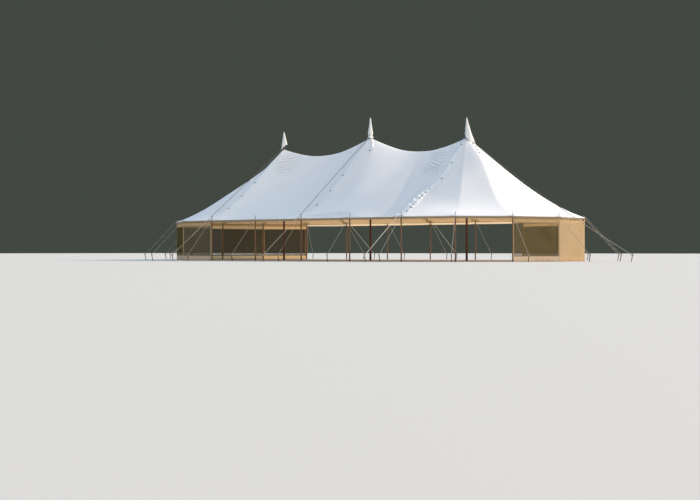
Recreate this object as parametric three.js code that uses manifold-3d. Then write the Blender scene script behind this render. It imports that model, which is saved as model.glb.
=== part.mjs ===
// Traditional pole marquee with round ends: a white canvas roof on three king poles and a ring
// of side poles, held down by guy ropes and stakes, with curved walls round both ends.
// Millimetres. X runs along the ridge, Y to the rear, Z up from level ground.
// The origin is on the ground under the middle king pole.

import * as THREE from 'three';
import { mergeVertices } from 'three/addons/utils/BufferGeometryUtils.js';
import Module from 'manifold-3d';

const wasm = await Module();
wasm.setup();

// Plan
const BAY = 3048;
const HALF_WIDTH = 6096;
const KING_SPACING = 6096;
const STRAIGHT_BAYS = 4;
const END_BAYS = 7;
const END_STEP = Math.PI / END_BAYS;

// Heights of the roof
const PEAK_Z = [6360, 6710, 6380];
const CAP_TIP_Z = [7360, 7790, 7410];
const SADDLE_Z = [5930, 5860];
const EAVE_Z = 2160;
const HEM_DEPTH = 120;

// The canvas falls from each peak in a hollow curve, flatter towards the eave
const HOLLOW = 0.48;
const HOLLOW_POWER = 1.6;

// The round ends hang a little lower than that, beyond their first and before their last gore
const END_SLACK = 125;

// Cloth is modelled thicker than it is
const ROOF_CLOTH = 15;
const WALL_CLOTH = 12;
const FILM = 4;

// Slack left between pieces that touch
const FIT = 0.3;

// Side poles and their steel pins
const SIDE_POLE_RADIUS = 35;
const SIDE_POLE_TOP = 2150;
const PIN_RADIUS = 9;
const PIN_TOP = 2370;

// King poles, with a steel spike at the head
const KING_RADIUS = 50;
const KING_FOOT_RADIUS = 58;
const KING_HEAD_ABOVE_PEAK = 300;
const SPIKE_RADIUS = 12;
const SPIKE_BELOW_TIP = 60;

// Canvas caps over the pole heads
const CAP_SKIRT_ABOVE_PEAK = 110;
const CAP_RADIUS = 175;
const CAP_TIP_RADIUS = 22;

// Walls, measured outwards from the line of the side poles
const FILM_OUT = SIDE_POLE_RADIUS + 3 + FILM;
const WALL_IN = FILM_OUT + FIT;
const WALL_OUT = WALL_IN + WALL_CLOTH;
const EAVE_OUT = WALL_OUT + FIT + ROOF_CLOTH;
const WALL_TOP = EAVE_Z - ROOF_CLOTH - FIT;
const WINDOW_BOTTOM = 270;
const WINDOW_TOP = 1830;
const WINDOW_SIDE = 50;
const FILM_MARGIN = 50;

// Ropes and stakes
const GUY_RADIUS = 9;
const MAIN_RADIUS = 14;
const GUY_EYE_Z = 2257;
const EYE_RADIUS = 26;
const EYE_HEIGHT = 24;
const EYE_BORE = (PIN_RADIUS + FIT) / Math.cos(Math.PI / 12);
const OVER_PIN = PIN_TOP + MAIN_RADIUS;
const GUY_STAKE_OUT = 1860;
const MAIN_STAKE_OUT = 3014;
const END_STAKE_OUT = 9100;
const TIE_Z = 300;
const KNOT_LENGTH = 60;
const STAKE_TOP = 380;
const STAKE_RADIUS = 20;
const STAKE_LEAN = 0.2;
const MAIN_ABOVE_PEAK = 110;
const END_ROPE_ABOVE_PEAK = 5;
const END_ROPE_SAG = 200;
const COLLAR_RADIUS = 74;
const COLLAR_HEIGHT = 30;

// Facets
const ROUND_SIDES = 12;
const ROPE_SIDES = 8;
const STAKE_SIDES = 8;
const SAG_STEPS = 8;
const ROWS = 10;
const BAY_COLUMNS = 8;
const FAN_COLUMNS_PER_BAY = 2;

const tent = new THREE.Group();

function finish(color, roughness, metalness = 0) {
  return new THREE.MeshStandardMaterial({ color, roughness, metalness });
}

function add(name, geometry, material) {
  const mesh = new THREE.Mesh(geometry, material);
  mesh.name = name;
  tent.add(mesh);
  return mesh;
}

// Closed shapes

// One closed body with shared corners and its faces pointing out
function closed(geometry) {
  geometry.deleteAttribute('normal');
  geometry.deleteAttribute('uv');
  const merged = mergeVertices(geometry, 0.001);
  const p = merged.getAttribute('position');
  const index = Array.from(merged.index.array);
  const a = new THREE.Vector3();
  const b = new THREE.Vector3();
  const c = new THREE.Vector3();
  const kept = [];
  let volume = 0;
  for (let i = 0; i < index.length; i += 3) {
    const [ia, ib, ic] = index.slice(i, i + 3);
    if (ia === ib || ib === ic || ic === ia) continue;
    kept.push([ia, ib, ic]);
    a.fromBufferAttribute(p, ia);
    b.fromBufferAttribute(p, ib);
    c.fromBufferAttribute(p, ic);
    volume += a.dot(b.cross(c));
  }
  const faces = volume > 0 ? kept : kept.map(([ia, ib, ic]) => [ia, ic, ib]);
  merged.setIndex(faces.flat());
  return merged;
}

function solid(geometry) {
  const shape = closed(geometry);
  return new wasm.Manifold(new wasm.Mesh({
    numProp: 3,
    vertProperties: new Float32Array(shape.getAttribute('position').array),
    triVerts: new Uint32Array(shape.index.array),
  }));
}

function geometryOf(body) {
  const mesh = body.getMesh();
  const geometry = new THREE.BufferGeometry();
  const positions = new THREE.BufferAttribute(new Float32Array(mesh.vertProperties), 3);
  geometry.setAttribute('position', positions);
  geometry.setIndex(new THREE.BufferAttribute(new Uint32Array(mesh.triVerts), 1));
  geometry.computeVertexNormals();
  return geometry;
}

function join(parts) {
  return parts.reduce((whole, next) => whole.add(next));
}

function cutAll(body, cutters) {
  return cutters.reduce((left, cutter) => left.subtract(cutter), body);
}

// A solid of revolution about a vertical line, from [radius, height] pairs that end on the axis
function turned(profile, sides = ROUND_SIDES, start = 0) {
  const points = profile.map(([radius, height]) => new THREE.Vector2(radius, height));
  return new THREE.LatheGeometry(points, sides, start).rotateX(Math.PI / 2);
}

function drum(radius, bottom, top, x = 0, y = 0, start = 0) {
  const profile = [[0, bottom], [radius, bottom], [radius, top], [0, top]];
  return solid(turned(profile, ROUND_SIDES, start).translate(x, y, 0));
}

// A box of nu by nv cells whose points are moved by place(u, v, w), each from 0 to 1
function bent(nu, nv, place) {
  const box = new THREE.BoxGeometry(1, 1, 1, nu, nv, 1);
  const p = box.getAttribute('position');
  for (let i = 0; i < p.count; i += 1) {
    const spot = place(p.getX(i) + 0.5, p.getY(i) + 0.5, p.getZ(i) + 0.5);
    p.setXYZ(i, ...spot);
  }
  return closed(box);
}

// A rope, straight or hanging by its sag, with a short length at each end that its knots take up
function rope(from, to, radius, sag = 0) {
  const a = new THREE.Vector3(...from);
  const run = new THREE.Vector3(...to).sub(a);
  const length = run.length();
  const outline = [[0, 0], [radius, 0], [radius, KNOT_LENGTH]];
  if (sag > 0) {
    for (let i = 1; i < SAG_STEPS; i += 1) outline.push([radius, (length * i) / SAG_STEPS]);
  }
  outline.push([radius, length - KNOT_LENGTH], [radius, length], [0, length]);
  const geometry = turned(outline, ROPE_SIDES);
  const p = geometry.getAttribute('position');
  const drops = Array.from({ length: p.count }, (_, i) => {
    const share = p.getZ(i) / length;
    return 4 * sag * share * (1 - share);
  });
  const up = new THREE.Vector3(0, 0, 1);
  const lean = new THREE.Quaternion().setFromUnitVectors(up, run.normalize());
  geometry.applyQuaternion(lean).translate(...from);
  drops.forEach((drop, i) => p.setZ(i, p.getZ(i) - drop));
  return solid(geometry);
}

// Stations: one for each side pole, with the direction outwards from the tent

function station(name, x, y, outX, outY, spread) {
  return { name, x, y, outX, outY, spread };
}

const END_SPREAD = 1 / Math.cos(END_STEP / 2);
const stations = {};

for (let i = 0; i <= STRAIGHT_BAYS; i += 1) {
  const x = (i - STRAIGHT_BAYS / 2) * BAY;
  stations[`front_${i + 1}`] = station(`front_${i + 1}`, x, -HALF_WIDTH, 0, -1, 1);
  stations[`rear_${i + 1}`] = station(`rear_${i + 1}`, x, HALF_WIDTH, 0, 1, 1);
}

for (const [side, sign] of [['left', -1], ['right', 1]]) {
  for (let i = 1; i < END_BAYS; i += 1) {
    const outX = sign * Math.sin(i * END_STEP);
    const outY = -Math.cos(i * END_STEP);
    const x = sign * KING_SPACING + HALF_WIDTH * outX;
    const y = HALF_WIDTH * outY;
    const name = `${side}_${i}`;
    stations[name] = station(name, x, y, outX, outY, END_SPREAD);
  }
}

function endChain(side) {
  const last = side === 'left' ? 1 : STRAIGHT_BAYS + 1;
  const chain = [stations[`front_${last}`]];
  for (let i = 1; i < END_BAYS; i += 1) chain.push(stations[`${side}_${i}`]);
  chain.push(stations[`rear_${last}`]);
  return chain;
}

// The plan point at distance s along a chain of stations, moved out from the pole line
function planPoint(chain, s, out) {
  const i = Math.min(Math.floor(s + 1e-9), chain.length - 2);
  const share = s - i;
  const [a, b] = [chain[i], chain[i + 1]];
  const ax = a.x + a.outX * a.spread * out;
  const ay = a.y + a.outY * a.spread * out;
  const bx = b.x + b.outX * b.spread * out;
  const by = b.y + b.outY * b.spread * out;
  return [ax + (bx - ax) * share, ay + (by - ay) * share];
}

// Roof

function fall(t) {
  return (1 - t) * (1 - HOLLOW * t ** HOLLOW_POWER);
}

function roofZ(ridge, t) {
  return EAVE_Z + (ridge - EAVE_Z) * fall(t);
}

function endSlack(u, t) {
  const fromSeam = Math.min(u * END_BAYS, (1 - u) * END_BAYS, 1);
  return END_SLACK * Math.sin(Math.PI * t ** 0.75) * Math.sin((fromSeam * Math.PI) / 2) ** 2;
}

// The ridge sags between two king poles
function ridgeZ(bay, share) {
  const chord = PEAK_Z[bay] + (PEAK_Z[bay + 1] - PEAK_Z[bay]) * share;
  const sag = (PEAK_Z[bay] + PEAK_Z[bay + 1]) / 2 - SADDLE_Z[bay];
  return chord - 4 * sag * share * (1 - share);
}

const kings = [-1, 0, 1].map((side) => side * KING_SPACING);
const kingNames = ['left', 'middle', 'right'];

const poleHoles = [
  ...kings.map((x) => drum(KING_RADIUS + FIT, 3000, 8000, x, 0)),
  ...Object.values(stations).map((s) => drum(PIN_RADIUS + FIT, 2000, 2500, s.x, s.y)),
];

// Row 0 is the foot of the hem, row 1 the eave, and the rows after it climb to the top
function clothPoint(row, top, ridge, at) {
  if (row === 0) return [...at(1, top ? 0 : ROOF_CLOTH), EAVE_Z - HEM_DEPTH];
  if (row === 1) return [...at(1, top ? 0 : ROOF_CLOTH), EAVE_Z - (top ? 0 : ROOF_CLOTH)];
  const t = 1 - (row - 1) / ROWS;
  return [...at(t, 0), roofZ(ridge, t) - (top ? 0 : ROOF_CLOTH)];
}

function roofBay(bay) {
  const [from, to] = [kings[bay] + FIT / 2, kings[bay + 1] - FIT / 2];
  const edge = HALF_WIDTH + EAVE_OUT;
  const lines = 2 * (ROWS + 1);
  return bent(BAY_COLUMNS, lines, (u, v, w) => {
    const line = Math.round(v * lines);
    const front = line <= ROWS + 1;
    const row = front ? line : lines - line;
    const side = front ? -1 : 1;
    const x = from + (to - from) * u;
    return clothPoint(row, w > 0.5, ridgeZ(bay, u), (t, inset) => [x, side * (edge * t - inset)]);
  });
}

function roofEnd(side) {
  const left = side === 'left';
  const kingX = left ? kings[0] : kings[2];
  const peak = left ? PEAK_Z[0] : PEAK_Z[2];
  const shift = (left ? -FIT : FIT) / 2;
  const chain = endChain(side);
  return bent(END_BAYS * FAN_COLUMNS_PER_BAY, ROWS + 1, (u, v, w) => {
    const row = Math.round(v * (ROWS + 1));
    const slack = row > 1 ? endSlack(u, 1 - (row - 1) / ROWS) : 0;
    const [px, py, pz] = clothPoint(row, w > 0.5, peak, (t, inset) => {
      const [x, y] = planPoint(chain, u * END_BAYS, EAVE_OUT - inset);
      const reach = Math.max(t, 0.004);
      return [kingX + (x - kingX) * reach + shift, y * reach];
    });
    return [px, py, pz - slack];
  });
}

const roofFinish = finish(0xdfe3e6, 0.85);
for (const side of ['left', 'right']) {
  add(`roof_end_${side}`, geometryOf(cutAll(solid(roofEnd(side)), poleHoles)), roofFinish.clone());
}
for (const [bay, side] of [[0, 'left'], [1, 'right']]) {
  add(`roof_bay_${side}`, geometryOf(cutAll(solid(roofBay(bay)), poleHoles)), roofFinish.clone());
}

// King poles and the caps over their heads

const kingFinish = finish(0x5a2f22, 0.6);
const capFinish = finish(0xe9e6dc, 0.85);

kings.forEach((x, i) => {
  const shoulder = PEAK_Z[i] + KING_HEAD_ABOVE_PEAK;
  const spikeTop = CAP_TIP_Z[i] - SPIKE_BELOW_TIP;
  const waist = PEAK_Z[i] - 3000;
  const pole = turned([
    [0, 0],
    [KING_FOOT_RADIUS, 0],
    [KING_RADIUS, waist],
    [KING_RADIUS, shoulder],
    [SPIKE_RADIUS, shoulder],
    [SPIKE_RADIUS, spikeTop],
    [0, spikeTop],
  ]);
  add(`king_pole_${kingNames[i]}`, closed(pole.translate(x, 0, 0)), kingFinish.clone());

  const skirt = PEAK_Z[i] + CAP_SKIRT_ABOVE_PEAK;
  const cap = turned([
    [0, CAP_TIP_Z[i]],
    [CAP_TIP_RADIUS, CAP_TIP_Z[i] - CAP_TIP_RADIUS],
    [CAP_RADIUS, skirt],
    [KING_RADIUS + FIT, skirt],
    [KING_RADIUS + FIT, shoulder + FIT],
    [SPIKE_RADIUS + FIT, shoulder + FIT],
    [SPIKE_RADIUS + FIT, spikeTop + FIT],
    [0, spikeTop + FIT],
  ]);
  add(`pole_cap_${kingNames[i]}`, closed(cap.translate(x, 0, 0)), capFinish.clone());
});

// Side poles

const sidePoleFinish = finish(0x6b3a25, 0.6);

for (const s of Object.values(stations)) {
  const pole = turned([
    [0, 0],
    [SIDE_POLE_RADIUS, 0],
    [SIDE_POLE_RADIUS, SIDE_POLE_TOP],
    [PIN_RADIUS, SIDE_POLE_TOP],
    [PIN_RADIUS, PIN_TOP],
    [0, PIN_TOP],
  ]);
  add(`side_pole_${s.name}`, closed(pole.translate(s.x, s.y, 0)), sidePoleFinish.clone());
}

// Guy ropes, each with its stake: built pointing along +X from the pole, then turned outwards

const ropeFinish = finish(0xb9a98a, 0.9);

function stake(out) {
  const outline = [[0, 0], [STAKE_RADIUS, 0], [STAKE_RADIUS, STAKE_TOP], [0, STAKE_TOP]];
  const peg = turned(outline, STAKE_SIDES, Math.PI / STAKE_SIDES);
  const lean = new THREE.Matrix4().makeShear(0, 0, 0, 0, STAKE_LEAN, 0);
  const atTie = out - STAKE_LEAN * TIE_Z;
  return solid(peg.applyMatrix4(lean).translate(atTie, 0, 0));
}

function turnOut(body, x, y, outX, outY) {
  const geometry = geometryOf(body);
  geometry.rotateZ(Math.atan2(outY, outX));
  return geometry.translate(x, y, 0);
}

function sideGuy(eyeTop) {
  return [
    drum(EYE_RADIUS, GUY_EYE_Z - EYE_HEIGHT / 2, eyeTop, 0, 0, Math.PI / ROUND_SIDES),
    rope([0, 0, GUY_EYE_Z], [GUY_STAKE_OUT, 0, TIE_Z], GUY_RADIUS),
    stake(GUY_STAKE_OUT),
  ];
}

// The main rope runs from the king pole's head over the pin, and shares a hitch with the guy
function mainRope(kingIndex) {
  const head = PEAK_Z[kingIndex] + MAIN_ABOVE_PEAK;
  return [
    rope([-HALF_WIDTH, 0, head], [0, 0, OVER_PIN], MAIN_RADIUS),
    rope([0, 0, OVER_PIN], [MAIN_STAKE_OUT, 0, TIE_Z], MAIN_RADIUS),
    stake(MAIN_STAKE_OUT),
  ];
}

for (const s of Object.values(stations)) {
  const kingIndex = s.spread === 1 ? kings.indexOf(s.x) : -1;
  const withMain = kingIndex >= 0;
  const guy = sideGuy(withMain ? OVER_PIN + EYE_RADIUS : GUY_EYE_Z + EYE_HEIGHT / 2);
  const parts = withMain ? [...guy, ...mainRope(kingIndex)] : guy;
  const cutters = [drum(EYE_BORE, 2000, PIN_TOP + FIT)];
  if (withMain) cutters.push(drum(KING_RADIUS + FIT, 3000, 8000, -HALF_WIDTH, 0));
  const name = withMain ? `main_and_side_guy_${s.name}` : `side_guy_${s.name}`;
  const body = cutAll(join(parts), cutters);
  add(name, turnOut(body, s.x, s.y, s.outX, s.outY), ropeFinish.clone());
}

// One more main rope runs from each end king pole straight out over the round end. It is made
// fast to a collar round the pole
for (const [side, sign, i] of [['left', -1, 0], ['right', 1, 2]]) {
  const collarZ = PEAK_Z[i] + END_ROPE_ABOVE_PEAK;
  const [low, high] = [collarZ - COLLAR_HEIGHT / 2, collarZ + COLLAR_HEIGHT / 2];
  const inner = KING_RADIUS + FIT;
  const section = [[inner, low], [COLLAR_RADIUS, low], [COLLAR_RADIUS, high], [inner, high]];
  const tied = [COLLAR_RADIUS - MAIN_RADIUS, 0, collarZ];
  const body = join([
    solid(turned([...section, section[0]])),
    rope(tied, [END_STAKE_OUT, 0, TIE_Z], MAIN_RADIUS, END_ROPE_SAG),
    stake(END_STAKE_OUT),
  ]);
  add(`end_main_guy_${side}`, turnOut(body, kings[i], 0, sign, 0), ropeFinish.clone());
}

// Walls: canvas hung outside the side poles, with a clear window in each bay but the plain one

const wallFinish = finish(0xb7a98c, 0.9);
const filmFinish = finish(0x8f9488, 0.25);

function wallSheet(chain, inner, outer, bottom, top) {
  return bent(chain.length - 1, 1, (u, v, w) => {
    const [x, y] = planPoint(chain, u * (chain.length - 1), inner + (outer - inner) * w);
    return [x, y, bottom + (top - bottom) * v];
  });
}

function windowCutter(chain, bay) {
  const [ax, ay] = planPoint(chain, bay, WALL_IN);
  const [bx, by] = planPoint(chain, bay + 1, WALL_IN);
  const length = Math.hypot(bx - ax, by - ay) - 2 * WINDOW_SIDE;
  const box = new THREE.BoxGeometry(length, 20 * WALL_CLOTH, WINDOW_TOP - WINDOW_BOTTOM);
  box.rotateZ(Math.atan2(by - ay, bx - ax));
  box.translate((ax + bx) / 2, (ay + by) / 2, (WINDOW_TOP + WINDOW_BOTTOM) / 2);
  return solid(box);
}

function wall(side, chain, plainBays) {
  const sheet = solid(wallSheet(chain, WALL_IN, WALL_OUT, 0, WALL_TOP));
  const cutters = [];
  for (let bay = 0; bay < chain.length - 1; bay += 1) {
    if (!plainBays.includes(bay)) cutters.push(windowCutter(chain, bay));
  }
  add(`wall_${side}`, geometryOf(cutAll(sheet, cutters)), wallFinish.clone());
  const [low, high] = [WINDOW_BOTTOM - FILM_MARGIN, WINDOW_TOP + FILM_MARGIN];
  const film = wallSheet(chain, FILM_OUT - FILM, FILM_OUT, low, high);
  add(`wall_windows_${side}`, film, filmFinish.clone());
}

// The left wall runs from the front round to the last side pole of the end, the right wall
// from the second side pole of its end round to the rear
wall('left', endChain('left').slice(0, END_BAYS), []);
wall('right', endChain('right').slice(2), [1]);

export default tent;
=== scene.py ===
import math

import bmesh
import bpy
from mathutils import Matrix, Vector, noise


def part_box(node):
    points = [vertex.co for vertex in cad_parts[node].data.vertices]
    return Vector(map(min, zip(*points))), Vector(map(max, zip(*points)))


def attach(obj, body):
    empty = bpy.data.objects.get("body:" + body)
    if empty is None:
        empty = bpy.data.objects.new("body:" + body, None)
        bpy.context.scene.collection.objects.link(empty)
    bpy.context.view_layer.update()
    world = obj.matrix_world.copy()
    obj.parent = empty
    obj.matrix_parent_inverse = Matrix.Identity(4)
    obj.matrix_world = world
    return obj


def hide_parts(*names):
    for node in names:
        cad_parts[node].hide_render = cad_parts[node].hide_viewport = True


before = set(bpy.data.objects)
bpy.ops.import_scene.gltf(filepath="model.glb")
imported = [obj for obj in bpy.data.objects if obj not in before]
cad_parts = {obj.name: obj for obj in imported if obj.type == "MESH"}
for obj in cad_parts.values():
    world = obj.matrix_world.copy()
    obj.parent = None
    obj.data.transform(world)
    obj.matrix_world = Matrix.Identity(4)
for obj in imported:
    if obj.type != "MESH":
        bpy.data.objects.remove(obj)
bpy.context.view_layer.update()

# Round-ended pole marquee in white cotton canvas. Metres, X along the ridge, Y to the rear, Z up,
# with the origin on the ground under the middle king pole.


# Ground plan
# The tent stands on a ring of side poles, 10 ft apart along the straight sides and closer round
# the ends, with three king poles on the centre line. Every place is read from the frame.
KINGS = ("left", "middle", "right")
END_POLES = 6
END_STEP = math.pi / (END_POLES + 1)


def foot_of(node):
    low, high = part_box(node)
    return Vector(((low.x + high.x) / 2, (low.y + high.y) / 2, 0))


king_feet = {side: foot_of(f"king_pole_{side}") for side in KINGS}
pole_feet = {
    node.removeprefix("side_pole_"): foot_of(node)
    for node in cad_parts
    if node.startswith("side_pole_")
}


def outwards(place):
    """The level direction out of the tent at a side pole."""
    row, _ = place.split("_")
    if row in ("front", "rear"):
        return Vector((0, -1 if row == "front" else 1, 0))
    return (pole_feet[place] - king_feet[row]).normalized()


def round_the_end(side):
    """The side poles of one round end in order, from the front to the rear."""
    last = 1 if side == "left" else 5
    turn = [f"{side}_{i}" for i in range(1, END_POLES + 1)]
    return [f"front_{last}", *turn, f"rear_{last}"]


def plan_point(places, along, out):
    """The point at a distance along a row of side poles, counted in bays, and out from it."""
    i = min(int(along + 1e-6), len(places) - 2)
    corners = []
    for place in places[i:i + 2]:
        straight = place.split("_")[0] in ("front", "rear")
        spread = 1 if straight else 1 / math.cos(END_STEP / 2)
        corners.append(pole_feet[place] + outwards(place) * spread * out)
    return corners[0].lerp(corners[1], along - i)


# Side poles
# Oiled ash poles 70 mm thick and 7 ft long with a galvanised ferrule, and an iron pin that stands
# up through the eave of the canvas and takes the loops of the ropes.
POLE_RADIUS = 0.035
POLE_TOP = 2.150
FERRULE_FOOT = 2.060
FERRULE_WALL = 0.0015
PIN_RADIUS = 0.009
PIN_TOP = 2.370
TURNED_STEPS = 28


def feed(tree, made, inputs):
    """Fills inputs of a node, as pairs of a socket and its value or the socket that it reads."""
    for key, value in inputs:
        if isinstance(value, bpy.types.NodeSocket):
            tree.links.new(value, made.inputs[key])
        else:
            made.inputs[key].default_value = value
    return made


def node(tree, kind, inputs=(), **settings):
    made = tree.nodes.new(kind)
    for key, value in settings.items():
        setattr(made, key, value)
    return feed(tree, made, inputs)


def effect(name, inputs, outputs):
    """An empty node group for an effect that several materials share."""
    group = bpy.data.node_groups.new(name, "ShaderNodeTree")
    for label, kind, value in inputs:
        socket = group.interface.new_socket(label, in_out="INPUT", socket_type=kind)
        if value is not None:
            socket.default_value = value
    for label, kind in outputs:
        group.interface.new_socket(label, in_out="OUTPUT", socket_type=kind)
    source = group.nodes.new("NodeGroupInput").outputs
    result = group.nodes.new("NodeGroupOutput")
    return group, source, result


def use(tree, group, inputs=()):
    made = tree.nodes.new("ShaderNodeGroup")
    made.node_tree = group
    return feed(tree, made, inputs)


def blank(name, roughness, **plain):
    """A material with one Principled shader, its plain sockets set."""
    material = bpy.data.materials.new(name)
    material.use_nodes = True
    tree = material.node_tree
    shader = tree.nodes["Principled BSDF"]
    shader.inputs["Roughness"].default_value = roughness
    for key, value in plain.items():
        shader.inputs[key.replace("_", " ")].default_value = value
    return material, tree, shader


def tint(tree, factor, low, high):
    """Mixes two colours, each a value or a socket."""
    return node(tree, "ShaderNodeMix", [(0, factor), (6, low), (7, high)],
                data_type="RGBA").outputs[2]


def times(share, colour):
    return tuple(share * c for c in colour[:3]) + (1,)


def maths(tree, operation, *values):
    return node(tree, "ShaderNodeMath", enumerate(values), operation=operation).outputs[0]


def remap(tree, value, low, high, to_low=0.0, to_high=1.0):
    """Carries a value from one range over to another, and holds it at the ends."""
    return node(tree, "ShaderNodeMapRange",
                [("Value", value), ("From Min", low), ("From Max", high), ("To Min", to_low),
                 ("To Max", to_high)]).outputs[0]


def cloudy(tree, place, scale, detail, roughness=0.5, distortion=0.0):
    return node(tree, "ShaderNodeTexNoise",
                [("Vector", place), ("Scale", scale), ("Detail", detail),
                 ("Roughness", roughness), ("Distortion", distortion)]).outputs["Fac"]


def place_of(tree):
    return node(tree, "ShaderNodeTexCoord").outputs["Object"]


def height_of(tree, place):
    return node(tree, "ShaderNodeSeparateXYZ", [("Vector", place)]).outputs["Z"]


def stretch(tree, place, factors):
    return node(tree, "ShaderNodeVectorMath", [(0, place), (1, factors)],
                operation="MULTIPLY").outputs[0]


def relief(tree, shader, height, distance, strength=1.0):
    bump = node(tree, "ShaderNodeBump",
                [("Height", height), ("Distance", distance), ("Strength", strength)])
    tree.links.new(bump.outputs["Normal"], shader.inputs["Normal"])


def surface(tree, *shaders, share):
    """Puts a mix of two shaders on the material's surface."""
    mixed = node(tree, "ShaderNodeMixShader", [(0, share), *enumerate(shaders, 1)])
    tree.links.new(mixed.outputs[0], tree.nodes["Material Output"].inputs["Surface"])


# Long grain with darker rays, for wood whose grain runs upwards
timber_grain, source, result = effect(
    "timber_grain",
    [("Vector", "NodeSocketVector", None), ("Fineness", "NodeSocketFloat", 60.0)],
    [("Grain", "NodeSocketFloat"), ("Tone", "NodeSocketFloat")],
)
drawn_out = stretch(timber_grain, source["Vector"], (1, 1, 0.035))
fibres = cloudy(timber_grain, drawn_out, source["Fineness"], 5.0, 0.62, 0.35)
board = cloudy(timber_grain, source["Vector"], 2.3, 3.0)
feed(timber_grain, result, [("Grain", fibres), ("Tone", board)])

# Soft stains that run down, for cloth and wood that stand outdoors
weather, source, result = effect(
    "weather",
    [("Vector", "NodeSocketVector", None), ("Size", "NodeSocketFloat", 1.0)],
    [("Stain", "NodeSocketFloat"), ("Streak", "NodeSocketFloat")],
)
clouds = cloudy(weather, source["Vector"], source["Size"], 4.0, 0.55)
run_down = stretch(weather, source["Vector"], (5.0, 5.0, 0.6))
runs = cloudy(weather, run_down, source["Size"], 3.0)
feed(weather, result, [("Stain", clouds), ("Streak", runs)])


def wood(name, dark, light, fineness):
    """Oiled timber, darker near the foot where it draws up damp."""
    material, tree, shader = blank(name, 0.5, Coat_Weight=0.12, Coat_Roughness=0.4)
    place = place_of(tree)
    grain = use(tree, timber_grain, [("Vector", place), ("Fineness", fineness)]).outputs
    plain = tint(tree, remap(tree, grain["Grain"], 0.32, 0.7), dark, light)
    toned = tint(tree, grain["Tone"], (0.62, 0.6, 0.58, 1), (1.25, 1.2, 1.15, 1))
    body = node(tree, "ShaderNodeMix", [(0, 1.0), (6, plain), (7, toned)],
                data_type="RGBA", blend_type="MULTIPLY")
    damp = remap(tree, height_of(tree, place), 0.28, 0.02)
    soiled = tint(tree, damp, body.outputs[2], times(0.4, dark))
    rough = remap(tree, grain["Grain"], 0.0, 1.0, 0.38, 0.68)
    feed(tree, shader, [("Base Color", soiled), ("Roughness", rough)])
    relief(tree, shader, grain["Grain"], 0.0012)
    return material


def galvanised(name):
    """Zinc-coated steel with its dull spangle."""
    material, tree, shader = blank(name, 0.42, Metallic=0.85)
    place = place_of(tree)
    spangle = node(tree, "ShaderNodeTexVoronoi", [("Vector", place), ("Scale", 130.0)])
    shade = node(tree, "ShaderNodeSeparateColor", [("Color", spangle.outputs["Color"])])
    zinc = tint(tree, shade.outputs[0], (0.3, 0.31, 0.32, 1), (0.52, 0.53, 0.54, 1))
    rough = remap(tree, shade.outputs[1], 0.0, 1.0, 0.32, 0.58)
    feed(tree, shader, [("Base Color", zinc), ("Roughness", rough)])
    return material


def face_outwards(bm):
    bmesh.ops.recalc_face_normals(bm, faces=bm.faces[:])


def turned(bm, profile, foot, material=0, steps=TURNED_STEPS):
    """Turns a profile of (radius, height) pairs about an upright line through foot."""
    points = [bm.verts.new((foot.x + r, foot.y, foot.z + z)) for r, z in profile]
    line = [bm.edges.new(pair) for pair in zip(points, points[1:])]
    before = set(bm.faces)
    bmesh.ops.spin(bm, geom=points + line, cent=foot, axis=(0, 0, 1), dvec=(0, 0, 0),
                   angle=math.tau, steps=steps, use_merge=True, use_duplicate=False)
    skin = [face for face in bm.faces if face not in before]
    for face in skin:
        face.material_index = material
    rings = list(dict.fromkeys(v for face in skin for v in face.verts))
    bmesh.ops.remove_doubles(bm, verts=rings, dist=1e-5)


def mesh_of(name, bm):
    made = bpy.data.meshes.new(name)
    bm.to_mesh(made)
    bm.free()
    return made


def add_object(name, data):
    made = bpy.data.objects.new(name, data)
    bpy.context.scene.collection.objects.link(made)
    return made


def make_piece(name, bm, materials):
    """Turns a finished bmesh into a smooth-shaded object at the origin, riding on the tent."""
    for face in bm.faces:
        face.smooth = True
    mesh = mesh_of(name, bm)
    for material in materials:
        mesh.materials.append(material)
    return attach(add_object(name, mesh), "root")


def keep_sharp(piece):
    """Keeps hard edges sharp on a smooth-shaded piece."""
    piece.data.set_sharp_from_angle(angle=math.radians(40))


def forged(name):
    """Blackened iron with a little rust in its pits."""
    material, tree, shader = blank(name, 0.7, Metallic=0.3)
    place = place_of(tree)
    pits = cloudy(tree, place, 90.0, 3.0)
    rusty = tint(tree, remap(tree, pits, 0.5, 0.68), (0.020, 0.020, 0.022, 1),
                 (0.07, 0.030, 0.014, 1))
    feed(tree, shader, [("Base Color", rusty)])
    relief(tree, shader, pits, 0.0008)
    return material


pole_wood = wood("oiled_ash", (0.10, 0.040, 0.013, 1), (0.28, 0.125, 0.040, 1), 70.0)
zinc = galvanised("galvanised_steel")
iron = forged("forged_iron")

for place, foot in pole_feet.items():
    bm = bmesh.new()
    joint = FERRULE_FOOT - 0.002
    turned(bm, [(0, 0), (0.029, 0), (POLE_RADIUS, 0.006), (POLE_RADIUS, joint), (0.03, joint),
                (0, joint)], foot)
    collar = POLE_RADIUS + FERRULE_WALL
    turned(bm, [(0, joint), (collar - 0.001, joint), (collar, FERRULE_FOOT),
                (collar, POLE_TOP - 0.006), (collar - 0.004, POLE_TOP), (0, POLE_TOP)],
           foot, material=1)
    turned(bm, [(0, POLE_TOP), (PIN_RADIUS + 0.004, POLE_TOP), (PIN_RADIUS, POLE_TOP + 0.004),
                (PIN_RADIUS, PIN_TOP - 0.012), (PIN_RADIUS * 0.6, PIN_TOP - 0.002),
                (0, PIN_TOP)], foot, material=2, steps=16)
    face_outwards(bm)
    pole = make_piece(f"side_pole_{place}_turned", bm, [pole_wood, zinc, iron])
    keep_sharp(pole)
    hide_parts(f"side_pole_{place}")


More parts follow.
